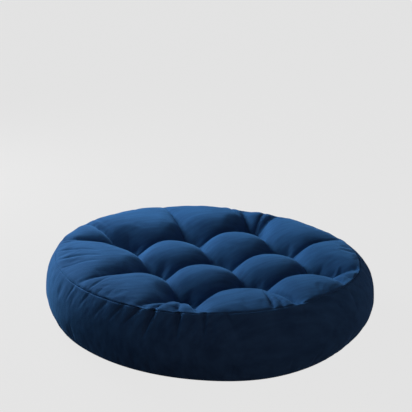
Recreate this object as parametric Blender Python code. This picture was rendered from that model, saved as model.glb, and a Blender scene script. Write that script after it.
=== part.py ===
"""Round tufted floor cushion: a stuffed velvet cover, sewn from two discs and a side band.

The cushion lies on its underside, at z = 0, with the middle of its outline at the origin and +Z up.
Nine ties pull the two discs towards each other on a square grid along X and Y. Metres throughout.
"""
import math

import bpy
from mathutils import Vector
from mathutils.geometry import delaunay_2d_cdt

# Overall sizes
OUTER_DIAMETER = 0.550         # across the belly of the side band
CUSHION_HEIGHT = 0.130         # underside to the top of the stuffed pillows
CROWN_RISE = 0.015             # how far the top disc swells above its seam
BELLY_HEIGHT = 0.054           # height of the widest part of the side band
BELLY_BULGE = 0.021            # how far the belly stands out past the two seams
BOTTOM_SEAM_HEIGHT = 0.014
UNDERSIDE_CURL = 0.034         # width of the ring of the bottom disc that curls up to its seam

# Cover and stuffing
FABRIC_THICKNESS = 0.0012      # pile and backing together
SEAM_ALLOWANCE = 0.009         # width of the two edges that are turned inwards at a seam
STITCHING_THICKNESS = 0.0008   # overlocked thread that wraps the two turned edges
CLEARANCE = 0.0003             # between any two pieces that lie against each other

# Tufting
TUFT_ROWS = 3
CORNER_TUFT_INSET = 0.087      # from the top seam in to the corner ties, along the diagonal
TUFT_SHIFT = (0.018, -0.009)   # the grid was marked a little off the cushion's middle
TIE_DIAMETER = 0.0024
KNOT_DIAMETER = 0.008
KNOT_HEIGHT = 0.0018
KNOT_MARGIN = 0.0025           # level cloth round a knot
TOP_PIT_RADIUS = 0.050
TOP_PIT_DEPTH = 0.042
BOTTOM_PIT_RADIUS = 0.026
BOTTOM_PIT_DEPTH = 0.012

# Facets
RIM_SEGMENTS = 48
BAND_STEPS = 8
TIE_SEGMENTS = 8
RIM_STEP = 0.012               # width of the plain ring of cloth next to a seam
FILL_STEP = 0.042              # distance between loose points of a disc, away from its pits

NAVY = (0.010, 0.030, 0.105, 1.0)
NAVY_THREAD = (0.008, 0.020, 0.070, 1.0)
FIBRE_WHITE = (0.80, 0.80, 0.78, 1.0)

top_seam_height = CUSHION_HEIGHT - CROWN_RISE
seam_radius = OUTER_DIAMETER / 2 - BELLY_BULGE
ring_radius = seam_radius - RIM_STEP
contact_radius = seam_radius - UNDERSIDE_CURL
tie_radius = TIE_DIAMETER / 2
hole_radius = tie_radius + CLEARANCE
patch_radius = KNOT_DIAMETER / 2 + KNOT_MARGIN
tuft_steps = [k - (TUFT_ROWS - 1) / 2 for k in range(TUFT_ROWS)]
tuft_spacing = (seam_radius - CORNER_TUFT_INSET) / math.hypot(tuft_steps[-1], tuft_steps[-1])
tufts = [
    (TUFT_SHIFT[0] + column * tuft_spacing, TUFT_SHIFT[1] + row * tuft_spacing)
    for row in tuft_steps for column in tuft_steps
]


def smooth(value):
    """0 below 0, 1 above 1 and 3v^2 - 2v^3 between them."""
    value = min(max(value, 0.0), 1.0)
    return value * value * (3 - 2 * value)


def nearest_tuft(x, y):
    """The tuft nearest to (x, y), after its distance."""
    return min((math.hypot(x - u, y - v), (u, v)) for u, v in tufts)


def patch(x, y):
    """Moves a point under a knot to the knot's middle, so that the patch there is level."""
    near, middle = nearest_tuft(x, y)
    return middle if near < patch_radius * 1.01 else (x, y)


def pit(x, y, radius, depth):
    """How far the ties pull a disc in at (x, y): fully under a knot, not at all past radius or at a seam."""
    pull = smooth((radius - nearest_tuft(x, y)[0]) / (radius - patch_radius))
    level_rim = smooth((ring_radius - math.hypot(x, y)) / (radius - patch_radius))
    return depth * pull * level_rim


def top_height(x, y):
    """Outside of the top disc: a crown that falls with the fourth power towards its seam, less the pits."""
    x, y = patch(x, y)
    share = min(math.hypot(x, y) / seam_radius, 1.0)
    crown = top_seam_height + CROWN_RISE * (1 - share ** 4)
    return crown - pit(x, y, TOP_PIT_RADIUS, TOP_PIT_DEPTH)


def bottom_height(x, y):
    """Outside of the bottom disc: level where it rests, then curling up to its seam, plus the pits."""
    x, y = patch(x, y)
    share = max(math.hypot(x, y) - contact_radius, 0.0) / UNDERSIDE_CURL
    return BOTTOM_SEAM_HEIGHT * share ** 2 + pit(x, y, BOTTOM_PIT_RADIUS, BOTTOM_PIT_DEPTH)


def band_radius(z):
    """Outside of the side band: a parabola on each side of the belly, through the seams."""
    seam = top_seam_height if z > BELLY_HEIGHT else BOTTOM_SEAM_HEIGHT
    share = (z - BELLY_HEIGHT) / (seam - BELLY_HEIGHT)
    return seam_radius + BELLY_BULGE * (1 - share ** 2)


def disc_plan(pit_rings, level_ring):
    """Triangles over a disc, with a round hole at each tuft and the given rings of points round it.

    level_ring is the radius of one more ring of points, round the disc's own middle.

    Returns the points, the triangles, the indices round the edge and the indices round each hole.
    """
    points = [Vector((ring_radius * math.cos(a), ring_radius * math.sin(a))) for a in rim_angles()]
    edge = list(range(len(points)))
    holes = []
    for u, v in tufts:
        holes.append(list(range(len(points), len(points) + TIE_SEGMENTS)))
        points += [Vector((u + hole_radius * c, v + hole_radius * s)) for c, s in turn(TIE_SEGMENTS)]
    fixed = sum(([(loop[k - 1], loop[k]) for k in range(len(loop))] for loop in [edge] + holes), [])
    inside = ring_radius - RIM_STEP / 2
    for u, v in tufts:
        for radius, count in pit_rings:
            ring = [Vector((u + radius * c, v + radius * s)) for c, s in turn(count)]
            points += [p for p in ring if p.length < inside and nearest_tuft(p.x, p.y)[0] > radius * 0.99]
    reach = max(radius for radius, count in pit_rings) + FILL_STEP / 3
    ring = [Vector((level_ring * c, level_ring * s)) for c, s in turn(RIM_SEGMENTS // 2)]
    points += [p for p in ring if nearest_tuft(p.x, p.y)[0] > reach - FILL_STEP / 4]
    steps = math.ceil(ring_radius / FILL_STEP)
    grid = [k * FILL_STEP for k in range(-steps, steps + 1)]
    loose = [Vector((x, y)) for x in grid for y in grid]
    loose = [p for p in loose if p.length < level_ring - FILL_STEP / 3]
    points += [p for p in loose if nearest_tuft(p.x, p.y)[0] > reach]
    found = delaunay_2d_cdt(points, fixed, [], 0, 1e-7)
    plan, triangles, origins = found[0], found[2], found[3]
    place = {}
    for new, old in enumerate(origins):
        for index in old:
            place[index] = new
    middles = [sum((plan[k] for k in t), Vector((0, 0))) / 3 for t in triangles]
    kept = [t for t, middle in zip(triangles, middles) if nearest_tuft(*middle)[0] > hole_radius * 0.9]
    return plan, kept, [place[k] for k in edge], [[place[k] for k in loop] for loop in holes]


def rim_angles():
    return [2 * math.pi * k / RIM_SEGMENTS for k in range(RIM_SEGMENTS)]


def turn(count):
    """Cosines and sines of count even steps round a circle."""
    return [(math.cos(2 * math.pi * k / count), math.sin(2 * math.pi * k / count)) for k in range(count)]


def meet(start, direction, other, other_direction):
    """Where two lines in the (r, z) plane cross."""
    cross = direction.x * other_direction.y - direction.y * other_direction.x
    gap = other - start
    return start + direction * ((gap.x * other_direction.y - gap.y * other_direction.x) / cross)


class Seam:
    """One seam's section in the (r, z) plane: the disc's edge and the band's edge, both turned inwards.

    The turned edges run along `inward`, which halves the angle between disc and band; `disc_side`
    points from the band's edge to the disc's.
    """

    def __init__(self, height, disc_height, band_neighbour):
        self.point = Vector((seam_radius, height))
        self.along_disc = (Vector((ring_radius, disc_height)) - self.point).normalized()
        self.along_band = (band_neighbour - self.point).normalized()
        self.inward = (self.along_disc + self.along_band).normalized()
        if self.inward.x > 0:
            self.inward = -self.inward
        side = Vector((-self.inward.y, self.inward.x))
        self.disc_side = side if side.dot(self.along_disc) > 0 else -side

    def edge(self, side, depth, offset):
        """A point on a turned edge: depth in from the seam, offset to one side (+1 disc, -1 band)."""
        return self.point + self.inward * depth + self.disc_side * (side * offset)

    def bend(self, side, offset, skin):
        """Where a line `offset` beside the seam meets the cover's surface moved in by `skin`."""
        surface = self.along_disc if side > 0 else self.along_band
        normal = Vector((-surface.y, surface.x))
        if normal.dot(self.inward) < 0:
            normal = -normal
        return meet(self.edge(side, 0.0, offset), self.inward, self.point + normal * skin, surface)


def band_heights():
    """Heights of the band's facets, evenly shared between each seam and the belly."""
    half = BAND_STEPS // 2
    low = [BOTTOM_SEAM_HEIGHT + (BELLY_HEIGHT - BOTTOM_SEAM_HEIGHT) * k / half for k in range(1, half + 1)]
    high = [BELLY_HEIGHT + (top_seam_height - BELLY_HEIGHT) * k / half for k in range(1, half)]
    return low + high


def band_line(skin):
    """The band's profile between its seams, moved in by skin, from the bottom to the top."""
    corners = [Vector((seam_radius, BOTTOM_SEAM_HEIGHT))]
    corners += [Vector((band_radius(z), z)) for z in band_heights()]
    corners.append(Vector((seam_radius, top_seam_height)))
    line = []
    for before, corner, after in zip(corners, corners[1:], corners[2:]):
        first = (corner - before).normalized()
        second = (after - corner).normalized()
        a = corner + Vector((-first.y, first.x)) * skin
        b = corner + Vector((-second.y, second.x)) * skin
        line.append(meet(a, first, b, second) if abs(first.cross(second)) > 1e-6 else a)
    return line


def new_object(name, vertices, faces, colour, roughness, sharp_degrees=35.0):
    mesh = bpy.data.meshes.new(name)
    mesh.from_pydata([tuple(v) for v in vertices], [], faces)
    mesh.validate()
    mesh.shade_smooth()
    mesh.set_sharp_from_angle(angle=math.radians(sharp_degrees))
    material = bpy.data.materials.new(name)
    material.use_nodes = True
    shader = material.node_tree.nodes["Principled BSDF"]
    shader.inputs["Base Color"].default_value = colour
    shader.inputs["Roughness"].default_value = roughness
    shader.inputs["Metallic"].default_value = 0.0
    mesh.materials.append(material)
    item = bpy.data.objects.new(name, mesh)
    bpy.context.scene.collection.objects.link(item)
    return item


class Shell:
    """Vertices and faces of one closed piece, gathered loop by loop."""

    def __init__(self):
        self.vertices = []
        self.faces = []

    def layer(self, plan, triangles, height, upward):
        """A disc's triangles at height(x, y); returns the index of its first vertex."""
        first = len(self.vertices)
        self.vertices += [(p.x, p.y, height(p.x, p.y)) for p in plan]
        for a, b, c in triangles:
            turn_up = (plan[b] - plan[a]).cross(plan[c] - plan[a]) > 0
            face = (a, b, c) if turn_up == upward else (a, c, b)
            self.faces.append(tuple(first + k for k in face))
        return first

    def ring(self, point):
        """A circle of rim vertices through the (r, z) point."""
        first = len(self.vertices)
        self.vertices += [(point.x * math.cos(a), point.x * math.sin(a), point.y) for a in rim_angles()]
        return list(range(first, first + RIM_SEGMENTS))

    def join(self, loops, closed=False):
        """Faces between one loop and the next. Loops run anticlockwise, and each is nearer the outside's
        foot than the one after it, so that faces look away from the solid."""
        pairs = list(zip(loops, loops[1:])) + ([(loops[-1], loops[0])] if closed else [])
        for low, high in pairs:
            count = len(low)
            for k in range(count):
                n = (k + 1) % count
                self.faces.append((low[k], low[n], high[n], high[k]))


def cover_disc(name, seam, plan_parts, height, side_up):
    """A disc of velvet with its edge turned in at the seam and a hole for each tie."""
    plan, triangles, edge, holes = plan_parts
    inner_shift = -FABRIC_THICKNESS if side_up else FABRIC_THICKNESS
    shell = Shell()
    outer = shell.layer(plan, triangles, height, side_up)
    inner = shell.layer(plan, triangles, lambda x, y: height(x, y) + inner_shift, not side_up)
    half_gap = CLEARANCE / 2
    face = half_gap + FABRIC_THICKNESS
    loops = [
        [inner + k for k in edge],
        shell.ring(seam.bend(1, face, FABRIC_THICKNESS)),
        shell.ring(seam.edge(1, SEAM_ALLOWANCE, face)),
        shell.ring(seam.edge(1, SEAM_ALLOWANCE, half_gap)),
        shell.ring(seam.edge(1, 0.0, half_gap)),
        [outer + k for k in edge],
    ]
    shell.join(loops if side_up else loops[::-1])
    for loop in holes:
        sides = [[outer + k for k in loop], [inner + k for k in loop]]
        shell.join(sides if side_up else sides[::-1])
    return new_object(name, shell.vertices, shell.faces, NAVY, 0.85)


def side_band(top_seam, bottom_seam):
    """The strip between the discs, with both edges turned in."""
    half_gap = CLEARANCE / 2
    face = half_gap + FABRIC_THICKNESS
    shell = Shell()
    outside = [shell.ring(bottom_seam.edge(-1, 0.0, half_gap))]
    outside += [shell.ring(p) for p in band_line(0.0)]
    outside += [shell.ring(top_seam.edge(-1, 0.0, half_gap)),
                shell.ring(top_seam.edge(-1, SEAM_ALLOWANCE, half_gap))]
    inside = [shell.ring(top_seam.edge(-1, SEAM_ALLOWANCE, face)),
              shell.ring(top_seam.bend(-1, face, FABRIC_THICKNESS))]
    inside += [shell.ring(p) for p in reversed(band_line(FABRIC_THICKNESS))]
    inside += [shell.ring(bottom_seam.bend(-1, face, FABRIC_THICKNESS)),
               shell.ring(bottom_seam.edge(-1, SEAM_ALLOWANCE, face)),
               shell.ring(bottom_seam.edge(-1, SEAM_ALLOWANCE, half_gap))]
    shell.join(outside + inside, closed=True)
    return new_object("side_band", shell.vertices, shell.faces, NAVY, 0.85)


def seam_stitching(name, seam, side_up):
    """Overlocked thread: a U in section, round the free end of the two turned edges."""
    near = CLEARANCE * 1.5 + FABRIC_THICKNESS
    far = near + STITCHING_THICKNESS
    mouth = SEAM_ALLOWANCE / 2
    bridge = SEAM_ALLOWANCE + CLEARANCE
    points = [
        seam.edge(-1, mouth, near), seam.edge(-1, mouth, far),
        seam.edge(-1, bridge + STITCHING_THICKNESS, far), seam.edge(1, bridge + STITCHING_THICKNESS, far),
        seam.edge(1, mouth, far), seam.edge(1, mouth, near),
        seam.edge(1, bridge, near), seam.edge(-1, bridge, near),
    ]
    shell = Shell()
    loops = [shell.ring(p) for p in points]
    shell.join(loops[::-1] if side_up else loops, closed=True)
    return new_object(name, shell.vertices, shell.faces, NAVY_THREAD, 0.7)


def stuffing(top_seam, bottom_seam, top_plan, bottom_plan):
    """The fibre filling: it fills the cover, leaves a groove for each seam and a bore for each tie."""
    skin = FABRIC_THICKNESS + CLEARANCE
    beside = CLEARANCE * 2.5 + FABRIC_THICKNESS + STITCHING_THICKNESS
    beyond = SEAM_ALLOWANCE + CLEARANCE * 2 + STITCHING_THICKNESS
    shell = Shell()
    plan, triangles, top_edge, top_holes = top_plan
    top = shell.layer(plan, triangles, lambda x, y: top_height(x, y) - skin, True)
    plan, triangles, bottom_edge, bottom_holes = bottom_plan
    bottom = shell.layer(plan, triangles, lambda x, y: bottom_height(x, y) + skin, False)
    loops = [[bottom + k for k in bottom_edge]]
    loops += [shell.ring(p) for p in (
        bottom_seam.bend(1, beside, skin), bottom_seam.edge(1, beyond, beside),
        bottom_seam.edge(-1, beyond, beside), bottom_seam.bend(-1, beside, skin))]
    loops += [shell.ring(p) for p in band_line(skin)]
    loops += [shell.ring(p) for p in (
        top_seam.bend(-1, beside, skin), top_seam.edge(-1, beyond, beside),
        top_seam.edge(1, beyond, beside), top_seam.bend(1, beside, skin))]
    loops.append([top + k for k in top_edge])
    shell.join(loops)
    for low, high in zip(bottom_holes, top_holes):
        shell.join([[top + k for k in high], [bottom + k for k in low]])
    return new_object("fibre_filling", shell.vertices, shell.faces, FIBRE_WHITE, 0.95)


def tuft_tie(number, x, y):
    """Doubled twine through the cushion, with a flat knot on each face."""
    low = bottom_height(x, y) - CLEARANCE
    high = top_height(x, y) + CLEARANCE
    knot = KNOT_DIAMETER / 2
    shoulder = knot * 0.8
    tip = knot * 0.6
    profile = [
        (tip, low - KNOT_HEIGHT), (knot, low - KNOT_HEIGHT / 2), (shoulder, low), (tie_radius, low),
        (tie_radius, high), (shoulder, high), (knot, high + KNOT_HEIGHT / 2), (tip, high + KNOT_HEIGHT),
    ]
    vertices = [(x + r * c, y + r * s, z) for r, z in profile for c, s in turn(TIE_SEGMENTS)]
    faces = [tuple(reversed(range(TIE_SEGMENTS)))]
    for row in range(len(profile) - 1):
        for k in range(TIE_SEGMENTS):
            n = (k + 1) % TIE_SEGMENTS
            a, b = row * TIE_SEGMENTS, (row + 1) * TIE_SEGMENTS
            faces.append((a + k, a + n, b + n, b + k))
    last = (len(profile) - 1) * TIE_SEGMENTS
    faces.append(tuple(range(last, last + TIE_SEGMENTS)))
    return new_object(f"tuft_tie_{number}", vertices, faces, NAVY_THREAD, 0.7)


def build():
    for item in list(bpy.data.objects):
        bpy.data.objects.remove(item)
    bottom_seam = Seam(BOTTOM_SEAM_HEIGHT, bottom_height(ring_radius, 0.0),
                       Vector((band_radius(band_heights()[0]), band_heights()[0])))
    top_seam = Seam(top_seam_height, top_height(ring_radius, 0.0),
                    Vector((band_radius(band_heights()[-1]), band_heights()[-1])))
    top_plan = disc_plan([(patch_radius, 8), (TOP_PIT_RADIUS * 0.38, 8), (TOP_PIT_RADIUS * 0.68, 10),
                          (TOP_PIT_RADIUS, 12)], ring_radius - RIM_STEP)
    bottom_plan = disc_plan([(patch_radius, 8), (BOTTOM_PIT_RADIUS * 0.62, 8), (BOTTOM_PIT_RADIUS, 8)],
                             contact_radius)
    cover_disc("top_panel", top_seam, top_plan, top_height, True)
    cover_disc("bottom_panel", bottom_seam, bottom_plan, bottom_height, False)
    side_band(top_seam, bottom_seam)
    seam_stitching("top_seam_stitching", top_seam, True)
    seam_stitching("bottom_seam_stitching", bottom_seam, False)
    stuffing(top_seam, bottom_seam, top_plan, bottom_plan)
    for number, (x, y) in enumerate(tufts, start=1):
        tuft_tie(number, x, y)


build()
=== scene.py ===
import math

import bpy
import numpy as np
from mathutils import Matrix, Vector


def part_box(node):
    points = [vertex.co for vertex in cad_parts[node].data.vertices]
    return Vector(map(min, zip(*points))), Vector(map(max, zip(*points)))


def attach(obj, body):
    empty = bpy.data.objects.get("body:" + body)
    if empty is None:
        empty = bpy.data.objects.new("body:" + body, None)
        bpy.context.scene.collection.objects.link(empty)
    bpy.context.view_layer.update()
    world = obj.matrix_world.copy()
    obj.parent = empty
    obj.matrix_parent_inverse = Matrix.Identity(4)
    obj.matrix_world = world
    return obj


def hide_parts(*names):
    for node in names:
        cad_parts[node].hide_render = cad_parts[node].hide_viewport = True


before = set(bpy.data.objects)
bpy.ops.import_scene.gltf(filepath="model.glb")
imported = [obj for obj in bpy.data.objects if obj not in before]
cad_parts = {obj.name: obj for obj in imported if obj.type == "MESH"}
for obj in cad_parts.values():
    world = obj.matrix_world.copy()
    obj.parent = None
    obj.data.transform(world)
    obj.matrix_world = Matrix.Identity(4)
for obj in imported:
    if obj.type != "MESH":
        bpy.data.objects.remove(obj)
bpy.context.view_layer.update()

# ---------------------------------------------------------------------------
# The cover's top panel and side band: a disc and a strip of navy velvet, cut a
# little full and joined in a plain turned seam. Nine ties draw the top down
# through the fibre, which swells it into pillows.
# ---------------------------------------------------------------------------
TIE_NAMES = [f"tuft_tie_{number}" for number in range(1, 10)]
tie_boxes = [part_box(name) for name in TIE_NAMES]
ties = np.array([[(low.x + high.x) / 2, (low.y + high.y) / 2] for low, high in tie_boxes])
spacing = float(ties[1, 0] - ties[0, 0])
band_low, band_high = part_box("side_band")
seam_radius = float(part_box("top_panel")[1].x)
belly_radius = float(band_high.x)
top_seam_height = float(band_high.z)
bottom_seam_height = float(band_low.z)

CROWN = 0.010            # how far the stuffing lifts the outer ring of pillows above the seam
FRONT_SLACK = 0.8        # share of that lift that is missing at the slack front corner
DISH = 0.009             # how far the ties draw the middle below that ring
TIE_PULL = 0.044         # depth of a tie's pit below the crown
CORNER_PULL = 0.0035     # more pull at the front left corner tie, less at the opposite one
PIT_REACH = 0.050        # from a tie to where its pit levels out
KNOT_SEAT = 0.0045       # radius of the flat spot that a tie's knot lies on
VALLEY_AT_TIE = 0.040    # depth of a valley where it leaves a tie
VALLEY_MIDWAY = 0.028    # and half way to the next one
VALLEY_AT_RIM = 0.004    # and where it meets the seam
FRONT_VALLEY = 0.011     # but the one in front of the middle tie meets it deeper, in a bundle of folds
DEEPEST = 0.043          # depth that valleys running together can't pass
VALLEY_REACH = 0.057     # from a valley's line to the crest beside it
SEAM_TILT = 0.004        # how far the seam's plane tilts up at the front right
SEAM_SADDLE = 0.0035     # and how far it bends up at its front and back, and down at its sides
BELLY_HEIGHT = 0.054     # where the band stands out furthest
BELLY_SHARE = 0.45       # share of the band's rows that lie below that
ALLOWANCE = 0.009        # width of cloth turned in at a seam
DIAGONAL = 0.7           # of a step along an allowance, the part inwards; as much goes up or down
PANEL_GAP = 0.0004       # from a seam's line up or down to the panel's allowance
BAND_GAP = 0.0014        # and to the band's, which lies behind it
GROOVE = 0.0014          # how far the seam's stitches draw its line inwards
NOTCH = 0.45             # and how far a fold in the band draws it in, as a share of the fold's depth
NOTCH_REACH = 0.009      # from the seam to where such a notch has mostly faded
PUCKER = 0.0016          # depth of the small gathers at the seam
CUT_FULL = 0.020         # the cloth's ease in the middle, as a share of its length
GATHERED = 0.050         # and its ease at the gathered part of the seam
BENDING = 0.2            # the velvet's stiffness in bending
PRESSURE = 5.0           # of the stuffing on the cloth
SWELL_FRAMES = 25        # frames that the cloth swells for
SWELL_CAP = 0.014        # the furthest the stuffing may move a point of the cloth
TIE_HOLD = 0.004         # radius of the cloth that a tie holds still
SEAM_HOLD = 0.6          # how firmly the stitches hold the seam, from 0 to 1
EVENED = 0.9             # how strongly they even out the cloth on the seam, from 0 to 1
EVEN_REACH = 0.012       # from the seam to where that has mostly faded
EVEN_ROUNDS = 5          # and how many times they do so
NEAR_AXIS = 0.05         # within this radius, a step towards the axis is made shorter
CELLS = 120              # grid cells across a panel
BAND_ROWS = 26           # rows of cells up the band

# where the valleys that leave each outer tie meet the seam, in degrees round from +X; a corner tie has two
RIM_ENDS = {6: (123.4, 145.8), 7: (84.3,), 8: (51.0, 34.0), 5: (-2.4,),
            2: (-37.5, -58.5), 1: (-83.5,), 0: (-116.9, -140.7), 3: (-169.5,)}

# loose folds at the seam: degrees round, the tie each points at, its length, depth and width on the top panel
TOP_FOLDS = (
    (-120, 0, 0.050, 0.0060, 0.0045), (-127, 0, 0.044, 0.0060, 0.0045), (-135, 0, 0.054, 0.0065, 0.0045),
    (-83.5, 1, 0.080, 0.0100, 0.0052), (-89.5, 1, 0.076, 0.0080, 0.0034), (-93.5, 1, 0.070, 0.0080, 0.0034),
    (-43, 2, 0.035, 0.0016, 0.0045), (-51, 2, 0.040, 0.0018, 0.0045),
    (56, 8, 0.060, 0.0035, 0.0035), (40, 8, 0.070, 0.0040, 0.0035), (28, 8, 0.050, 0.0025, 0.0030),
    (119, 6, 0.060, 0.0025, 0.0035), (150, 6, 0.060, 0.0030, 0.0035), (158, 3, 0.070, 0.0030, 0.0030),
    (166, 3, 0.070, 0.0035, 0.0035), (174, 3, 0.060, 0.0030, 0.0030), (-163, 3, 0.050, 0.0025, 0.0030))
# and where they run on down the band: degrees round, lean in degrees, length, depth and width
BAND_FOLDS = (
    (-110, 2, 0.022, 0.0040, 0.0030), (-117.5, 0, 0.034, 0.0085, 0.0034), (-126, 0, 0.038, 0.0095, 0.0036),
    (-135, -2, 0.042, 0.0110, 0.0040), (-140, -5, 0.030, 0.0060, 0.0032), (-146, -5, 0.030, 0.0035, 0.0034),
    (-153, -4, 0.034, 0.0022, 0.0036), (-162, -3, 0.030, 0.0018, 0.0036), (-171, -2, 0.034, 0.0018, 0.0036),
    (-84, 1, 0.022, 0.0022, 0.0030), (-44, 1, 0.024, 0.0018, 0.0030), (-28, 1, 0.030, 0.0015, 0.0040))


def turned_from(angle, degrees):
    """The turn from a direction given in degrees to an angle, in radians from -pi to pi."""
    return np.mod(angle - np.radians(degrees) + np.pi, 2 * np.pi) - np.pi


def rim_radius(angle):
    """Radius of the top seam: the CAD circle, less 3 mm cos(a - 25 degrees), plus 1 mm cos(3a - 0.9)."""
    return seam_radius - 0.003 * np.cos(angle - np.radians(25)) + 0.001 * np.cos(3 * angle - 0.9)


def lean(x, y):
    """Slow rise and fall of the seam's plane: SEAM_TILT t + SEAM_SADDLE (a^2 - b^2).

    They are shares of the seam's radius: t towards -60 degrees, a towards -75 degrees and b square to a.
    """
    u = x / seam_radius
    v = y / seam_radius
    tilt = SEAM_TILT * (u * math.cos(math.radians(-60)) + v * math.sin(math.radians(-60)))
    turn = math.radians(-75)
    across = u * math.cos(turn) + v * math.sin(turn)
    beside = v * math.cos(turn) - u * math.sin(turn)
    return tilt + SEAM_SADDLE * (across ** 2 - beside ** 2)


def valley_lines():
    """Start, end and depth at the rim of each valley, a depth of 0 for those that run from tie to tie."""
    lines = [(ties[k], ties[k + 1], 0) for k in (0, 1, 3, 4, 6, 7)]
    lines += [(ties[k], ties[k + 3], 0) for k in range(6)]
    for tie, angles in RIM_ENDS.items():
        for angle in np.radians(angles):
            end = seam_radius * np.array([np.cos(angle), np.sin(angle)])
            lines.append((ties[tie], end, FRONT_VALLEY if tie == 1 else VALLEY_AT_RIM))
    return lines


def roll(share, square=2.0, round_off=1.7):
    """A pillow's side, 1 in the valley to 0 on the crest: 1 - (1 - (1 - share)^square)^(1 / round_off)."""
    share = np.clip(share, 0, 1)
    return 1 - (1 - (1 - share) ** square) ** (1 / round_off)


def nearest_tie(x, y):
    """Distance in plan to the nearest tie, and that tie's number."""
    apart = np.hypot(x[..., None] - ties[:, 0], y[..., None] - ties[:, 1])
    return apart.min(axis=-1), apart.argmin(axis=-1)


def drawn_to_ties(x, y):
    """Points moved by KNOT_SEAT exp(-(near - KNOT_SEAT) / 12 mm) to their nearest tie, whose seat is flat."""
    near, which = nearest_tie(x, y)
    shift = KNOT_SEAT * np.exp(-np.clip(near - KNOT_SEAT, 0, None) / 0.012)
    kept = np.clip(1 - shift / np.maximum(near, 1e-6), 0, 1)
    return ties[which, 0] + (x - ties[which, 0]) * kept, ties[which, 1] + (y - ties[which, 1]) * kept


def off_line(x, y, start, end):
    """Share of the way along the line from start to end, kept to 0 to 1, and the distance from it."""
    along = end - start
    share = ((x - start[0]) * along[0] + (y - start[1]) * along[1]) / (along @ along)
    share = np.clip(share, 0, 1)
    return share, np.hypot(x - start[0] - share * along[0], y - start[1] - share * along[1])


def top_surface(x, y):
    """Height of the cut and tied top before it swells: the crown above the seam, less the valleys and pits.

    The crown is CROWN (1 - rho^8)^0.5, lower at the slack front corner, less DISH exp(-(2 rho)^2), with rho
    the share of the way to the rim. A valley's floor goes from VALLEY_AT_TIE to its depth at the rim as
    (1 - share)^1.2, or between two ties to VALLEY_MIDWAY and back as |2 share - 1|^1.6, and roll() shapes its
    sides. The valleys v join as D (1 - product(1 - v / D)), with D = DEEPEST, which rounds the pillows'
    corners. That and the pit p join as (v^4 + p^4)^(1/4).
    """
    rho = np.clip(np.hypot(x, y) / rim_radius(np.arctan2(y, x)), 0, 1)
    slack = FRONT_SLACK * np.exp(-(turned_from(np.arctan2(y, x), -115) / 0.55) ** 2)
    ring = CROWN * (1 - slack * np.clip(3 * rho - 1, 0, 1))
    crown = top_seam_height + lean(x, y) + ring * (1 - rho ** 8) ** 0.5 - DISH * np.exp(-(2 * rho) ** 2)
    x, y = drawn_to_ties(x, y)
    standing = np.ones_like(x)
    for start, end, at_rim in valley_lines():
        share, away = off_line(x, y, start, end)
        if at_rim:
            depth = at_rim + (VALLEY_AT_TIE - at_rim) * (1 - share) ** 1.2
            reach = VALLEY_REACH * (1 - 0.45 * share)
        else:
            depth = VALLEY_MIDWAY + (VALLEY_AT_TIE - VALLEY_MIDWAY) * np.abs(2 * share - 1) ** 1.6
            reach = VALLEY_REACH
        standing *= 1 - depth / DEEPEST * roll(away / reach)
    valley = DEEPEST * (1 - standing)
    near, which = nearest_tie(x, y)
    corner = (ties - ties[4]).sum(axis=1) / spacing
    pit = (TIE_PULL - CORNER_PULL * corner[which]) * roll(near / PIT_REACH, 1.8, 1.5)
    fade = np.clip((1 - rho) / 0.03, 0, 1)
    return crown - (valley ** 4 + pit ** 4) ** (1 / 4) * fade


def band_surface(angle, share):
    """The band at an angle and a share of the way up: a quarter of an oval below the belly and one above.

    With t from -1 at the bottom seam to 1 at the top, the way from belly to seam is sin(|t| 90 degrees) in
    height and 1 - cos(t 90 degrees)^1.1 in radius. The belly's radius is the CAD one less 5 mm, with a wave
    of 4 mm round it and three of 1 mm.
    """
    top_r = rim_radius(angle)
    top_z = top_seam_height + lean(top_r * np.cos(angle), top_r * np.sin(angle))
    belly_r = belly_radius - 0.005 + 0.004 * np.cos(angle + np.radians(15)) + 0.001 * np.cos(3 * angle - 0.9)
    turn = (share - BELLY_SHARE) / np.where(share < BELLY_SHARE, BELLY_SHARE, 1 - BELLY_SHARE)
    rise = np.sin(np.abs(turn) * np.pi / 2)
    z = np.where(turn < 0, BELLY_HEIGHT - (BELLY_HEIGHT - bottom_seam_height) * rise,
                 BELLY_HEIGHT + (top_z - BELLY_HEIGHT) * rise)
    side = np.clip(np.cos(turn * np.pi / 2), 0, 1) ** 1.1
    edge_r = np.where(turn < 0, low_radius(angle), top_r)
    r = edge_r + (belly_r - edge_r) * side
    return np.stack([r * np.cos(angle), r * np.sin(angle), z], axis=-1)


def low_radius(angle):
    """Radius of the bottom seam: the CAD circle and 1 mm, bagging in front and tucked at the front right.

    The bag is 7 mm cos(a) about -105 degrees, where that is above 0, and 4 mm exp(-(a / 0.3)^2) about -98
    degrees. The tuck is 7 mm exp(-(a / 0.35)^2) about -52 degrees.
    """
    bag = 0.007 * np.clip(np.cos(turned_from(angle, -105)), 0, 1)
    bag += 0.004 * np.exp(-(turned_from(angle, -98) / 0.3) ** 2)
    return seam_radius + 0.001 + bag - 0.007 * np.exp(-(turned_from(angle, -52) / 0.35) ** 2)


def disc_grid(count, crowd=0.6):
    """Points of a square grid carried onto a unit disc: x = u sqrt(1 - v^2/2), y = v sqrt(1 - u^2/2).

    u and v are first crowded towards +-1 by sin(crowd u pi/2) / sin(crowd pi/2), for finer cells at the rim.
    """
    line = np.linspace(-1, 1, count + 1)
    line = np.sin(crowd * line * np.pi / 2) / math.sin(crowd * np.pi / 2)
    u, v = np.meshgrid(line, line, indexing="ij")
    return u * np.sqrt(1 - v ** 2 / 2), v * np.sqrt(1 - u ** 2 / 2)


def rim_loop(count):
    """Numbers of the grid's edge points, anticlockwise seen from +Z, for a (count + 1) square grid."""
    index = np.arange((count + 1) ** 2).reshape(count + 1, count + 1)
    return np.concatenate([index[:-1, 0], index[-1, :-1], index[:0:-1, -1], index[0, :0:-1]])


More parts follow.
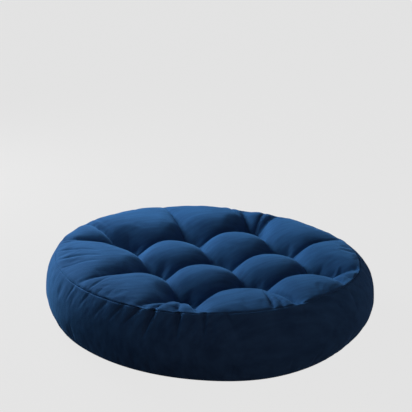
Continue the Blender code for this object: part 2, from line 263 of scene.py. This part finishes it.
def sheet_faces(index, closed=False):
    """Quads between neighbours of an array of point numbers; closed also joins its last row to its first."""
    if closed:
        index = np.concatenate([index, index[:1]])
    corners = [index[:-1, :-1], index[1:, :-1], index[1:, 1:], index[:-1, 1:]]
    return np.stack(corners, axis=-1).reshape(-1, 4)


def new_piece(name, points, faces, material=None):
    """A smooth shaded mesh object at the origin, from arrays of points and faces."""
    mesh = bpy.data.meshes.new(name)
    points = np.asarray(points, dtype=np.float32).reshape(-1, 3)
    faces = np.asarray(faces, dtype=np.int32)
    mesh.vertices.add(len(points))
    mesh.vertices.foreach_set("co", points.ravel())
    mesh.loops.add(faces.size)
    mesh.loops.foreach_set("vertex_index", faces.ravel())
    mesh.polygons.add(len(faces))
    mesh.polygons.foreach_set("loop_start", np.arange(0, faces.size, faces.shape[1], dtype=np.int32))
    mesh.update(calc_edges=True)
    mesh.validate()
    mesh.shade_smooth()
    if material:
        mesh.materials.append(material)
    piece = bpy.data.objects.new(name, mesh)
    bpy.context.scene.collection.objects.link(piece)
    return piece


def swollen(points, faces, pins, fullness):
    """Blender's cloth on the cover: pressure from inside, held where pins is 1, cut full where fullness is 1.

    A point moves at most SWELL_CAP: its step d becomes cap tanh(d / cap).
    """
    piece = new_piece("cover_under_pressure", points, faces)
    for name, weights in (("held", pins), ("full", fullness)):
        group = piece.vertex_groups.new(name=name)
        weights = np.round(weights, 2)
        for weight in np.unique(weights[weights > 0]):
            group.add(np.flatnonzero(weights == weight).tolist(), float(weight), "REPLACE")
    cloth = piece.modifiers.new("cloth", "CLOTH")
    settings = cloth.settings
    settings.vertex_group_mass = "held"
    settings.vertex_group_shrink = "full"
    settings.shrink_min = -CUT_FULL
    settings.shrink_max = -GATHERED
    settings.effector_weights.gravity = 0
    settings.mass = 0.3
    settings.air_damping = 2
    settings.quality = 6
    settings.tension_stiffness = settings.compression_stiffness = 20
    settings.shear_stiffness = 8
    settings.bending_stiffness = BENDING
    settings.tension_damping = settings.compression_damping = settings.shear_damping = 10
    settings.use_pressure = True
    settings.uniform_pressure_force = PRESSURE
    cloth.point_cache.frame_start = 1
    cloth.point_cache.frame_end = SWELL_FRAMES
    cloth.collision_settings.use_collision = False
    for number in range(1, SWELL_FRAMES + 1):
        bpy.context.scene.frame_set(number)
    shaped = piece.evaluated_get(bpy.context.evaluated_depsgraph_get())
    result = np.empty(len(points) * 3, np.float32)
    shaped.data.vertices.foreach_get("co", result)
    bpy.data.objects.remove(piece)
    bpy.context.scene.frame_set(1)
    step = result.reshape(-1, 3) - points
    size = np.linalg.norm(step, axis=1, keepdims=True)
    return points + step * SWELL_CAP * np.tanh(size / SWELL_CAP) / np.maximum(size, 1e-9)


def evened(step, faces, share, rounds):
    """The points' steps, each drawn by its share towards the mean of its neighbours' steps, every round."""
    edges = np.concatenate([faces[:, [k, (k + 1) % 4]] for k in range(4)])
    count = np.bincount(edges.ravel(), minlength=len(step))[:, None]
    for _ in range(rounds):
        total = np.zeros_like(step)
        np.add.at(total, edges[:, 0], step[edges[:, 1]])
        np.add.at(total, edges[:, 1], step[edges[:, 0]])
        step = step + share[:, None] * (total / count - step)
    return step


def subdivided(points, faces):
    """The same surface with each quad split in four by Catmull and Clark's rule, as points and faces."""
    rough = new_piece("rough", points, faces)
    smooth = rough.modifiers.new("smooth", "SUBSURF")
    smooth.levels = smooth.render_levels = 1
    mesh = rough.evaluated_get(bpy.context.evaluated_depsgraph_get()).data
    fine = np.empty(len(mesh.vertices) * 3, np.float32)
    mesh.vertices.foreach_get("co", fine)
    corners = np.empty(len(mesh.loops), np.int32)
    mesh.loops.foreach_get("vertex_index", corners)
    bpy.data.objects.remove(rough)
    return fine.reshape(-1, 3).astype(float), corners.reshape(-1, 4)


def point_normals(points, faces):
    """Unit normals at the points: the sum of each neighbouring quad's cross product of its diagonals."""
    a, b, c, d = (points[faces[:, k]] for k in range(4))
    across = np.cross(c - a, d - b)
    total = np.zeros_like(points)
    for k in range(4):
        np.add.at(total, faces[:, k], across)
    return total / np.maximum(np.linalg.norm(total, axis=1, keepdims=True), 1e-12)


def puckers(angle):
    """Small gathers round the seam: 1 - |sin(p)|^0.6, with p 34 times the angle and a few slow sines.

    Their strength is 1 at -165 degrees, falls to a tenth away from there, and wavers by a slow sine.
    """
    p = 34 * angle + 2.6 * np.sin(3 * angle + 0.4) + 1.9 * np.sin(7 * angle + 1.3) + 1.2 * np.sin(11 * angle)
    strength = 0.10 + 0.90 * np.exp(-(turned_from(angle, -165) / 0.75) ** 2)
    strength *= 0.7 + 0.3 * np.sin(5 * angle + 2)
    return strength * (1 - np.abs(np.sin(p)) ** 0.6)


def top_creases(x, y):
    """How far the top is creased inwards: puckers that die away in 20 mm from the seam, and the loose folds.

    A fold is depth exp(-(away / width)^1.3), deepest a fifth of the way in from the seam and gone at its end.
    """
    angle = np.arctan2(y, x)
    inside = np.clip(rim_radius(angle) - np.hypot(x, y), 0, None)
    crease = PUCKER * puckers(angle) * np.exp(-inside / 0.020) * (1 - np.exp(-inside / 0.003))
    for degrees, tie, length, depth, width in TOP_FOLDS:
        a = math.radians(degrees)
        start = (seam_radius - 0.003) * np.array([math.cos(a), math.sin(a)])
        towards = (ties[tie] - start) / np.hypot(*(ties[tie] - start))
        share, away = off_line(x, y, start, start + length * towards)
        taper = np.clip(0.45 + 2.75 * share, 0, 1) * np.clip(1.25 * (1 - share), 0, 1) ** 0.7
        crease = np.maximum(crease, depth * taper * np.exp(-(away / width) ** 1.3))
    return crease * np.clip(inside / 0.0025, 0, 1)


def band_creases(points):
    """How far the band is creased inwards, by the same puckers and by the folds that run on down it.

    A fold is depth (1 - share)^0.9 exp(-|off / spread|^1.5), deepest at the seam and narrower as it runs out.
    """
    angle = np.arctan2(points[:, 1], points[:, 0])
    radius = rim_radius(angle)
    seam_height = top_seam_height + lean(radius * np.cos(angle), radius * np.sin(angle))
    below = np.clip(seam_height - points[:, 2], 0, None)
    crease = 0.55 * PUCKER * puckers(angle) * np.exp(-below / 0.014) * (1 - np.exp(-below / 0.003))
    for degrees, slant, length, depth, width in BAND_FOLDS:
        share = np.clip(below / length, 0, 1)
        off = turned_from(angle, degrees + slant * share)
        spread = width * (1 - 0.45 * share)
        across = np.exp(-np.abs(off * belly_radius / spread) ** 1.5)
        crease = np.maximum(crease, depth * (1 - share) ** 0.9 * across)
    return crease * np.clip(below / 0.006, 0, 1) ** 0.7


def pinch(angle, folds=TOP_FOLDS + BAND_FOLDS):
    """How deep the folds are where they leave the top seam: the greatest depth exp(-|off / width|^1.5)."""
    deepest = np.zeros_like(angle)
    for degrees, _, _, depth, width in folds:
        off = turned_from(angle, degrees) * seam_radius
        deepest = np.maximum(deepest, depth * np.exp(-np.abs(off / width) ** 1.5))
    return deepest


def boundary(points, faces, lowest=-1.0):
    """Numbers of the points on the sheet's open edge above a height, in order anticlockwise from -X."""
    edges = np.sort(np.concatenate([faces[:, [k, (k + 1) % 4]] for k in range(4)]), axis=1)
    edges, uses = np.unique(edges, axis=0, return_counts=True)
    loose = np.unique(edges[uses == 1])
    loose = loose[points[loose, 2] > lowest]
    return loose[np.argsort(np.arctan2(points[loose, 1], points[loose, 0]))]


def turned_in(points, faces, edge, apart, slope, outward_up):
    """The sheet with a seam allowance: rows of cloth in from its edge by ALLOWANCE, at 45 degrees up or down.

    apart keeps it clear of the other sheet's allowance, slope is -1 down or 1 up, and outward_up is True if
    the sheet's outer side turns to face up. The folds at the top seam push it further in, by their pinch.
    """
    start = points[edge]
    plan = start[:, :2] / np.hypot(start[:, 0], start[:, 1])[:, None]
    fold = pinch(np.arctan2(start[:, 1], start[:, 0])) if slope < 0 else 0 * start[:, 0]
    rows = []
    for share in (0.04, 0.45, 1.0):
        row = start.copy()
        inwards = DIAGONAL * (ALLOWANCE * share + fold * min(1, share * 2))
        row[:, :2] -= plan * inwards[:, None]
        row[:, 2] += apart * min(1, share * 4) + slope * inwards
        rows.append(row)
    index = np.concatenate([edge[None], len(points) + np.arange(3 * len(edge)).reshape(3, -1)]).T
    if outward_up:
        index = index[:, ::-1]
    return np.concatenate([points, *rows]), np.concatenate([faces, sheet_faces(index, closed=True)])


def finish(name, roughness, specular, sheen):
    """A node material, its shader with a plain finish, and the Object coordinates that its patterns read."""
    material = bpy.data.materials.new(name)
    material.use_nodes = True
    shader = material.node_tree.nodes["Principled BSDF"]
    shader.inputs["Roughness"].default_value = roughness
    shader.inputs["Specular IOR Level"].default_value = specular
    shader.inputs["Sheen Weight"].default_value = sheen
    return material, shader, material.node_tree.nodes.new("ShaderNodeTexCoord").outputs["Object"]


def noise(where, scale, detail, distortion=0.0):
    """Clouds of a scale, in lumps for each metre, read at where: a share from 0 to 1."""
    tree = where.id_data
    clouds = tree.nodes.new("ShaderNodeTexNoise")
    clouds.inputs["Scale"].default_value = scale
    clouds.inputs["Detail"].default_value = detail
    clouds.inputs["Distortion"].default_value = distortion
    tree.links.new(where, clouds.inputs["Vector"])
    return clouds.outputs["Fac"]


def tones(shader, share, low, dark, high, light):
    """The shader's colour: dark where the share is low, light where it is high, and blended between."""
    tree = share.id_data
    ramp = tree.nodes.new("ShaderNodeValToRGB")
    for stop, position, colour in zip(ramp.color_ramp.elements, (low, high), (dark, light)):
        stop.position = position
        stop.color = (*colour, 1)
    tree.links.new(share, ramp.inputs["Fac"])
    tree.links.new(ramp.outputs["Color"], shader.inputs["Base Color"])


def relief(share, strength, distance, under=None):
    """A bumped normal that rises with the share by a distance, over the relief under it."""
    tree = share.id_data
    bump = tree.nodes.new("ShaderNodeBump")
    bump.inputs["Strength"].default_value = strength
    bump.inputs["Distance"].default_value = distance
    tree.links.new(share, bump.inputs["Height"])
    if under is not None:
        tree.links.new(under, bump.inputs["Normal"])
    return bump.outputs["Normal"]


def velvet(name, base):
    """Velvet: a dark ground, a sheen where the pile is seen edge on, patches and streaks of brushed nap."""
    material, shader, where = finish(name, 0.9, 0.02, 0.25)
    nodes, links = material.node_tree.nodes, material.node_tree.links
    shader.inputs["Sheen Roughness"].default_value = 0.45
    shader.inputs["Sheen Tint"].default_value = (0.12, 0.42, 0.95, 1)
    stretch = nodes.new("ShaderNodeMapping")
    stretch.inputs["Rotation"].default_value = (0, 0, math.radians(-27))
    stretch.inputs["Scale"].default_value = (14, 150, 60)
    links.new(where, stretch.inputs["Vector"])
    streaks = noise(stretch.outputs["Vector"], 1, 4)
    patches = nodes.new("ShaderNodeMath")
    patches.operation = "MULTIPLY"
    patches.inputs[1].default_value = 0.45
    links.new(noise(where, 26, 6), patches.inputs[0])
    nap = nodes.new("ShaderNodeMath")
    nap.operation = "MULTIPLY_ADD"
    nap.inputs[1].default_value = 0.55
    links.new(streaks, nap.inputs[0])
    links.new(patches.outputs["Value"], nap.inputs[2])
    red, green, blue = base
    tones(shader, nap.outputs["Value"], 0.36, (red * 0.78, green * 0.78, blue * 0.80),
          0.66, (red * 1.25, green * 1.25, blue * 1.2))
    pile = relief(noise(where, 1400, 2), 0.35, 0.0006)
    links.new(relief(streaks, 0.25, 0.0015, pile), shader.inputs["Normal"])
    return material


navy_velvet = velvet("navy_velvet", (0.013, 0.058, 0.160))
grid_x, grid_y = disc_grid(CELLS)
grid_radius = rim_radius(np.arctan2(grid_y, grid_x))
top_x, top_y = grid_x * grid_radius, grid_y * grid_radius
top_points = np.stack([top_x, top_y, top_surface(top_x, top_y)], axis=-1).reshape(-1, 3)
top_faces = sheet_faces(np.arange(len(top_points)).reshape(grid_x.shape))
rim = rim_loop(CELLS)
rim_angle = np.arctan2(top_points[rim, 1], top_points[rim, 0])
band_angle, band_share = np.meshgrid(rim_angle, np.linspace(0, 1, BAND_ROWS + 1)[:-1], indexing="ij")
cover_points = np.concatenate([top_points, band_surface(band_angle, band_share).reshape(-1, 3)])
band_index = len(top_points) + np.arange(band_angle.size).reshape(band_angle.shape)
band_index = np.concatenate([band_index, rim[:, None]], axis=1)
band_faces = sheet_faces(band_index, closed=True)

cover_faces = np.concatenate([top_faces, band_faces])
limp_points = cover_points
cover_x, cover_y, cover_z = limp_points.T
pins = np.zeros(len(limp_points))
pins[:len(top_points)][nearest_tie(top_points[:, 0], top_points[:, 1])[0] < TIE_HOLD] = 1
pins[band_index[:, 0]] = 1
pins[rim] = SEAM_HOLD
# the cloth is fuller near the rim and down the top of the band, most of all on the gathered left side
around = np.arctan2(cover_y, cover_x)
left = 0.35 + 0.65 * np.clip(np.cos(around - np.radians(-165)), 0, 1) ** 1.5
outward = np.clip((np.hypot(cover_x, cover_y) / seam_radius - 0.72) / 0.2, 0, 1)
downward = np.clip((cover_z - 0.075) / 0.03, 0, 1)
on_top = np.arange(len(limp_points)) < len(top_points)
fullness = left * np.where(on_top, outward, 0.5 * downward)
cover_points = swollen(limp_points, cover_faces, pins, fullness)
# the stitches even out the cloth beside the seam
off_seam = np.hypot(np.hypot(cover_x, cover_y) - rim_radius(around),
                    cover_z - top_seam_height - lean(cover_x, cover_y))
share = EVENED * np.exp(-(off_seam / EVEN_REACH) ** 2)
cover_points = limp_points + evened(cover_points - limp_points, cover_faces, share, EVEN_ROUNDS)

# the folds in the band notch the seam, and its stitches draw its line in
around = np.arctan2(cover_points[:, 1], cover_points[:, 0])
radius = np.hypot(cover_points[:, 0], cover_points[:, 1])
off_seam = np.hypot(radius - np.interp(around, rim_angle, radius[rim], period=2 * np.pi),
                    cover_points[:, 2] - np.interp(around, rim_angle, cover_points[rim, 2], period=2 * np.pi))
notch = NOTCH * pinch(around, BAND_FOLDS) * np.exp(-(off_seam / NOTCH_REACH) ** 2)
cover_points[:, :2] *= (1 - notch / np.maximum(radius, NEAR_AXIS))[:, None]
seam_line = cover_points[rim]
drawn_in = GROOVE * (0.7 + 1.3 * puckers(rim_angle))
seam_line[:, :2] *= 1 - (drawn_in / np.hypot(seam_line[:, 0], seam_line[:, 1]))[:, None]
seam_line[:, 2] -= GROOVE / 3
cover_points[rim] = seam_line

fine_points, fine_faces = subdivided(cover_points[:len(top_points)], top_faces)
normals = point_normals(fine_points, fine_faces)
fine_points -= normals * top_creases(fine_points[:, 0], fine_points[:, 1])[:, None]
edge = boundary(fine_points, fine_faces)
fine_points, fine_faces = turned_in(fine_points, fine_faces, edge, -PANEL_GAP, -1, True)
velvet_top = new_piece("velvet_top", fine_points, fine_faces, navy_velvet)
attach(velvet_top, "root")
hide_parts("top_panel")

own_faces = sheet_faces(np.arange(band_index.size).reshape(band_index.shape), closed=True)
fine_points, fine_faces = subdivided(cover_points[band_index].reshape(-1, 3), own_faces)
normals = point_normals(fine_points, fine_faces)
fine_points -= normals * band_creases(fine_points)[:, None]
top_edge = boundary(fine_points, fine_faces, BELLY_HEIGHT)
low_edge = np.setdiff1d(boundary(fine_points, fine_faces), top_edge)
low_edge = low_edge[np.argsort(np.arctan2(fine_points[low_edge, 1], fine_points[low_edge, 0]))]
fine_points, fine_faces = turned_in(fine_points, fine_faces, top_edge, -BAND_GAP, -1, False)
fine_points, fine_faces = turned_in(fine_points, fine_faces, low_edge, BAND_GAP, 1, True)
velvet_band = new_piece("velvet_band", fine_points, fine_faces, navy_velvet)
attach(velvet_band, "root")
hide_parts("side_band")

# ---------------------------------------------------------------------------
# Bottom panel: a flat disc of the same velvet, sewn to the band's lower edge.
# The floor flattens it, and the lower knots of the ties dimple it.
# ---------------------------------------------------------------------------
UNDERSIDE_CURL = 0.034   # width of the edge that rises from the floor to the seam
LOW_PIT_DEPTH = 0.012    # of the dimple over each lower knot
LOW_PIT_REACH = 0.026    # from a tie to where its dimple levels out
LOW_VALLEY = 0.0035      # height of the soft creases from tie to tie, which the floor never quite flattens
LOW_VALLEY_WIDTH = 0.007


def bottom_surface(x, y):
    """Height of the underside: the seam's height times curl^2, and the tie dimples and creases inside that.

    A crease is LOW_VALLEY exp(-(away / LOW_VALLEY_WIDTH)^2), and one to the rim falls to nothing on its way.
    Where a dimple and a crease meet, the higher counts.
    """
    radius = low_radius(np.arctan2(y, x))
    curl = np.clip((np.hypot(x, y) - radius + UNDERSIDE_CURL) / UNDERSIDE_CURL, 0, 1)
    near = np.clip(nearest_tie(x, y)[0] - KNOT_SEAT, 0, None)
    rise = LOW_PIT_DEPTH * roll(near / LOW_PIT_REACH, 2.0, 1.2)
    for start, end, at_rim in valley_lines():
        share, away = off_line(x, y, start, end)
        height = LOW_VALLEY * (1 - share) if at_rim else LOW_VALLEY
        rise = np.maximum(rise, height * np.exp(-(away / LOW_VALLEY_WIDTH) ** 2))
    return bottom_seam_height * curl ** 2 + rise * (1 - curl)


grid_low_radius = low_radius(np.arctan2(grid_y, grid_x))
low_x, low_y = grid_x * grid_low_radius, grid_y * grid_low_radius
low_points = np.stack([low_x, low_y, bottom_surface(low_x, low_y)], axis=-1).reshape(-1, 3)
low_points[rim] = cover_points[band_index[:, 0]]
low_faces = top_faces[:, ::-1]
fine_points, fine_faces = subdivided(low_points, low_faces)
fine_points[:, 2] = np.maximum(fine_points[:, 2], 0)
edge = boundary(fine_points, fine_faces)
fine_points, fine_faces = turned_in(fine_points, fine_faces, edge, PANEL_GAP, 1, False)
velvet_bottom = new_piece("velvet_bottom", fine_points, fine_faces, navy_velvet)
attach(velvet_bottom, "root")
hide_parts("bottom_panel")

# ---------------------------------------------------------------------------
# Filling: loose white polyester fibre, packed into the closed cover through
# the seam's last opening. The cover holds it, and the ties pass through it.
# ---------------------------------------------------------------------------
COVER_GAP = 0.0032       # from the cloth to the fibre
SEAM_ROOM = 0.012        # how far the fibre gives way to the seam allowances
SEAM_ROOM_REACH = 0.008  # from the seam to where that has mostly faded
CREASE_GIVE = 1.3        # how far it gives way to a crease, as a share of the crease's depth
CREASE_REACH = 0.003     # and how far to each side of it


def fibre(name):
    """White polyester fibre: soft clumps from one noise in its tone, single hairs from another in relief."""
    material, shader, where = finish(name, 1.0, 0.1, 0.3)
    tones(shader, noise(where, 45, 8, 1.5), 0.3, (0.62, 0.63, 0.63), 0.7, (0.88, 0.88, 0.87))
    hairs = relief(noise(where, 380, 4, 3), 0.6, 0.002)
    material.node_tree.links.new(hairs, shader.inputs["Normal"])
    return material


# the closed cover once more, coarse: top and band, and the bottom panel less the edge it shares with the band
inner = np.setdiff1d(np.arange(len(low_points)), rim)
low_number = np.empty(len(low_points), int)
low_number[inner] = len(cover_points) + np.arange(len(inner))
low_number[rim] = band_index[:, 0]
core_points = np.concatenate([cover_points, low_points[inner]])
core_faces = np.concatenate([top_faces, band_faces, low_number[low_faces]])
core_normals = point_normals(core_points, core_faces)
core_angle = np.arctan2(core_points[:, 1], core_points[:, 0])
core_radius = np.hypot(core_points[:, 0], core_points[:, 1])
give = np.zeros(len(core_points))
drop = np.zeros(len(core_points))
# a seam's line, its share of the room, and how far the fibre drops there as a share of how far it gives way
for line, share, down in ((cover_points[rim], 1.0, 0.9), (cover_points[band_index[:, 0]], 0.7, -0.3)):
    turn = np.arctan2(line[:, 1], line[:, 0])
    order = np.argsort(turn)
    seam_r = np.interp(core_angle, turn[order], np.hypot(line[:, 0], line[:, 1])[order], period=2 * np.pi)
    seam_z = np.interp(core_angle, turn[order], line[order, 2], period=2 * np.pi)
    off_seam = np.hypot(core_radius - seam_r, core_points[:, 2] - seam_z)
    fold = pinch(core_angle) if down > 0 else 0
    room = (SEAM_ROOM * share + DIAGONAL * fold) * np.exp(-(off_seam / SEAM_ROOM_REACH) ** 2)
    give = np.maximum(give, room)
    drop += down * room
creased = np.zeros(len(core_points))
top_part = slice(len(top_points))
band_part = slice(len(top_points), len(cover_points))
for along_x, along_y in ((0, 0), (1, 0), (-1, 0), (0, 1), (0, -1)):
    beside = core_points + (CREASE_REACH * along_x, CREASE_REACH * along_y, 0)
    creased[top_part] = np.maximum(creased[top_part], top_creases(*beside[top_part, :2].T))
    creased[band_part] = np.maximum(creased[band_part], band_creases(beside[band_part]))
core_points = core_points - core_normals * (COVER_GAP + CREASE_GIVE * creased)[:, None]
core_points[:, :2] *= (1 - give / np.maximum(core_radius, NEAR_AXIS))[:, None]
core_points[:, 2] -= drop
fibre_core = new_piece("fibre_core", core_points, core_faces, fibre("white_fibre"))
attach(fibre_core, "root")
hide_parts("fibre_filling")

# ---------------------------------------------------------------------------
# Seam stitching: navy polyester thread on both seams, an overlock stitch that
# wraps the two turned-in edges, inside the cover where it doesn't show.
# ---------------------------------------------------------------------------
THREAD_RADIUS = 0.0003
STITCH_PITCH = 0.0045    # from one stitch to the next along the seam
STEPS_PER_STITCH = 10    # points on the thread's path for each stitch
STITCH_GAP = 0.0009      # from the seam's line up or down to the middle of the two allowances
TUBE_SIDES = 6


def spun(name, colour, ply_scale):
    """Twisted thread: a tone that varies along it, and a fine relief at ply_scale ridges for each metre."""
    material, shader, where = finish(name, 0.55, 0.3, 0.2)
    nodes, links = material.node_tree.nodes, material.node_tree.links
    plies = nodes.new("ShaderNodeTexWave")
    plies.bands_direction = "DIAGONAL"
    plies.inputs["Scale"].default_value = ply_scale
    plies.inputs["Distortion"].default_value = 2
    links.new(where, plies.inputs["Vector"])
    tones(shader, plies.outputs["Fac"], 0, [0.6 * c for c in colour], 1, [1.4 * c for c in colour])
    links.new(relief(plies.outputs["Fac"], 0.5, 0.0002), shader.inputs["Normal"])
    return material


def tube(path, beside, radius, sides, closed):
    """Points and faces of a tube: circles of the radius about a path and square to it.

    beside holds vectors that don't run along the path, and a circle's first point is square to both.
    An open tube's radius falls to nothing over its last two circles at each end, which closes it.
    """
    along = np.roll(path, -1, axis=0) - np.roll(path, 1, axis=0) if closed else np.gradient(path, axis=0)
    along /= np.linalg.norm(along, axis=1, keepdims=True)
    first = np.cross(along, beside)
    first /= np.linalg.norm(first, axis=1, keepdims=True)
    second = np.cross(along, first)
    turn = np.linspace(0, 2 * np.pi, sides, endpoint=False)
    size = np.full(len(path), radius)
    if not closed:
        size[[0, -1]] = radius * 0.02
        size[[1, -2]] = radius * 0.75
    ring = np.cos(turn)[None, :, None] * first[:, None] + np.sin(turn)[None, :, None] * second[:, None]
    points = path[:, None] + size[:, None, None] * ring
    index = np.arange(len(path) * sides).reshape(len(path), sides)
    index = np.concatenate([index, index[:, :1]], axis=1)
    return points.reshape(-1, 3), sheet_faces(index, closed)[:, ::-1]


def overlock(line, slope):
    """The thread's path round a seam: flattened circles that wrap the edges of the two allowances.

    Along the allowance it is at ALLOWANCE - 2.6 mm - 3.2 mm cos(p) and off it at 1.3 mm sin(p), with p one
    turn for each stitch. The allowances slope at 45 degrees, so both steps go as far in as up or down.
    """
    turn = np.arctan2(line[:, 1], line[:, 0])
    order = np.argsort(turn)
    radius = np.hypot(line[:, 0], line[:, 1])[order]
    stitches = round(2 * math.pi * radius.mean() / STITCH_PITCH)
    angle = np.linspace(-np.pi, np.pi, stitches * STEPS_PER_STITCH, endpoint=False)
    phase = stitches * angle
    out = ALLOWANCE - 0.0026 - 0.0032 * np.cos(phase)
    off = 0.0013 * np.sin(phase)
    fold = pinch(angle) if slope < 0 else 0
    r = np.interp(angle, turn[order], radius, period=2 * np.pi) - DIAGONAL * (out - off + fold)
    z = np.interp(angle, turn[order], line[order, 2], period=2 * np.pi)
    z += slope * (STITCH_GAP + DIAGONAL * (out + off + fold))
    path = np.stack([r * np.cos(angle), r * np.sin(angle), z], axis=-1)
    return path, np.stack([-np.sin(angle), np.cos(angle), 0 * angle], axis=-1)


navy_thread = spun("navy_thread", (0.010, 0.020, 0.055), 900)
seam_threads = (("top_seam_thread", cover_points[rim], -1, "top_seam_stitching"),
                ("bottom_seam_thread", cover_points[band_index[:, 0]], 1, "bottom_seam_stitching"))
for name, line, slope, node in seam_threads:
    path, beside = overlock(line, slope)
    seam_thread = new_piece(name, *tube(path, beside, THREAD_RADIUS, TUBE_SIDES, True), navy_thread)
    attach(seam_thread, "root")
    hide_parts(node)

# ---------------------------------------------------------------------------
# Tuft ties: nine lengths of two-ply navy twine, each pulled tight through the
# cushion and knotted on both sides, deep in its pit where it hardly shows.
# ---------------------------------------------------------------------------
PLY_RADIUS = 0.0006
PLY_PITCH = 0.006        # height of one full turn of the plies
STEPS_PER_TURN = 14      # points on a ply's path for each turn
KNOT_CORD = 0.00055      # radius of the cord in a knot
KNOT_LIFT = 0.0014       # from the cloth to the middle of a knot


def two_plies(x, y, low, high):
    """Paths of the two plies of an upright twine: helices of the ply's radius, half a turn apart."""
    z = np.linspace(low, high, int((high - low) / PLY_PITCH * STEPS_PER_TURN))
    phase = 2 * np.pi * z / PLY_PITCH
    paths = []
    for half in (0, np.pi):
        across = PLY_RADIUS * np.cos(phase + half)
        back = PLY_RADIUS * np.sin(phase + half)
        paths.append(np.stack([x + across, y + back, z], axis=-1))
    return paths


def overhand_knot(x, y, z, start):
    """A flattened trefoil: radius 2.3 mm + 1 mm cos(3t), turned by 2t + start, and 0.45 mm sin(3t) high."""
    t = np.linspace(0, 2 * np.pi, 90, endpoint=False)
    r = 0.0023 + 0.0010 * np.cos(3 * t)
    turn = 2 * t + start
    return np.stack([x + r * np.cos(turn), y + r * np.sin(turn), z + 0.00045 * np.sin(3 * t)], axis=-1)


navy_twine = spun("navy_twine", (0.008, 0.016, 0.045), 500)
for number, (name, (x, y)) in enumerate(zip(TIE_NAMES, ties)):
    here = np.array([x]), np.array([y])
    upper = float(top_surface(*here)[0]) + KNOT_LIFT
    lower = float(bottom_surface(*here)[0]) - KNOT_LIFT
    shapes = []
    for path in two_plies(x, y, lower, upper):
        shapes.append(tube(path, np.array([1.0, 0, 0]), PLY_RADIUS, TUBE_SIDES, False))
    for z in (lower, upper):
        knot = overhand_knot(x, y, z, number + z)
        shapes.append(tube(knot, np.array([0, 0, 1.0]), KNOT_CORD, TUBE_SIDES, True))
    firsts = np.cumsum([0] + [len(points) for points, _ in shapes[:-1]])
    twine_points = np.concatenate([points for points, _ in shapes])
    twine_faces = np.concatenate([faces + first for first, (_, faces) in zip(firsts, shapes)])
    twine = new_piece(name.replace("tie", "twine"), twine_points, twine_faces, navy_twine)
    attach(twine, "root")
    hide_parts(name)

# ---------------------------------------------------------------------------
# The studio: a pale floor that glows evenly, a soft lamp from behind on the
# left with weaker ones round the other sides, and the camera.
# ---------------------------------------------------------------------------
FLOOR_REACH = 60         # from the centre to the floor's edges, so that they stay out of sight
FLOOR_GAP = 0.0004       # it lies this far under the cushion, so that the two never share a plane
CAMERA_AZIMUTH = -26.74  # degrees round from the cushion's front
CAMERA_ELEVATION = 23.54
CAMERA_DISTANCE = 2.0786
CAMERA_PITCH = 18.31     # degrees that it looks down by
CAMERA_YAW = -0.28
CAMERA_ROLL = 2.50
CAMERA_LENS = 106.2      # mm, for a sensor 36 mm wide

pale_floor, glow, _ = finish("pale_floor", 0.9, 0, 0)
glow.inputs["Base Color"].default_value = (0.015, 0.015, 0.015, 1)
glow.inputs["Emission Color"].default_value = (1, 1, 1, 1)
glow.inputs["Emission Strength"].default_value = 0.765
corners = [(FLOOR_REACH * u, FLOOR_REACH * v, -FLOOR_GAP) for u, v in ((-1, -1), (1, -1), (1, 1), (-1, 1))]
floor = new_piece("floor", corners, [(0, 1, 2, 3)], pale_floor)
floor.visible_diffuse = False
floor.visible_glossy = False

world = bpy.data.worlds.new("studio")
bpy.context.scene.world = world
world.use_nodes = True
world.node_tree.nodes["Background"].inputs["Color"].default_value = (0.776, 0.776, 0.776, 1)
world.node_tree.nodes["Background"].inputs["Strength"].default_value = 1.0
world.cycles_visibility.diffuse = False
world.cycles_visibility.glossy = False


def soft_light(name, azimuth, elevation, distance, size, power, colour=(1, 1, 1)):
    """A round lamp that faces the cushion. Its azimuth is in degrees round from the camera, to the right."""
    a = math.radians(CAMERA_AZIMUTH + azimuth)
    e = math.radians(elevation)
    back = Vector((math.sin(a) * math.cos(e), -math.cos(a) * math.cos(e), math.sin(e)))
    data = bpy.data.lights.new(name, "AREA")
    data.shape = "DISK"
    data.size = size
    data.energy = power
    data.color = colour
    lamp = bpy.data.objects.new(name, data)
    lamp.location = back * distance
    lamp.rotation_mode = "QUATERNION"
    lamp.rotation_quaternion = (-back).to_track_quat("-Z", "Y")
    bpy.context.scene.collection.objects.link(lamp)


soft_light("key", -130, 30, 1.25, 0.75, 29)
soft_light("left_fill", -88, 24, 2.0, 1.1, 6)
soft_light("sky", 180, 80, 2.5, 3.0, 4)
soft_light("front_fill", 5, 16, 3.0, 2.0, 25, (1.0, 0.46, 0.38))
soft_light("right_fill", 72, 9, 2.5, 2.0, 10, (1.0, 0.56, 0.46))
soft_light("far_fill", 128, 8, 2.6, 2.0, 9, (0.9, 0.85, 0.9))

turn_to_view = Matrix.Rotation(math.radians(CAMERA_AZIMUTH), 3, "Z")
e, p, w = (math.radians(v) for v in (CAMERA_ELEVATION, CAMERA_PITCH, CAMERA_YAW))
place = turn_to_view @ (CAMERA_DISTANCE * Vector((0, -math.cos(e), math.sin(e))))
look = turn_to_view @ Vector((math.sin(w) * math.cos(p), math.cos(w) * math.cos(p), -math.sin(p)))
level = turn_to_view @ Vector((math.cos(w), -math.sin(w), 0))
upright = level.cross(look)
tilt = math.radians(CAMERA_ROLL)
right = level * math.cos(tilt) + upright * math.sin(tilt)
up = upright * math.cos(tilt) - level * math.sin(tilt)
camera = bpy.data.objects.new("camera", bpy.data.cameras.new("camera"))
bpy.context.scene.collection.objects.link(camera)
camera.data.sensor_width = 36
camera.data.lens = CAMERA_LENS
camera.matrix_world = Matrix((
    (right.x, up.x, -look.x, place.x),
    (right.y, up.y, -look.y, place.y),
    (right.z, up.z, -look.z, place.z),
    (0, 0, 0, 1)))
bpy.context.scene.camera = camera
bpy.context.scene.view_settings.view_transform = "Standard"
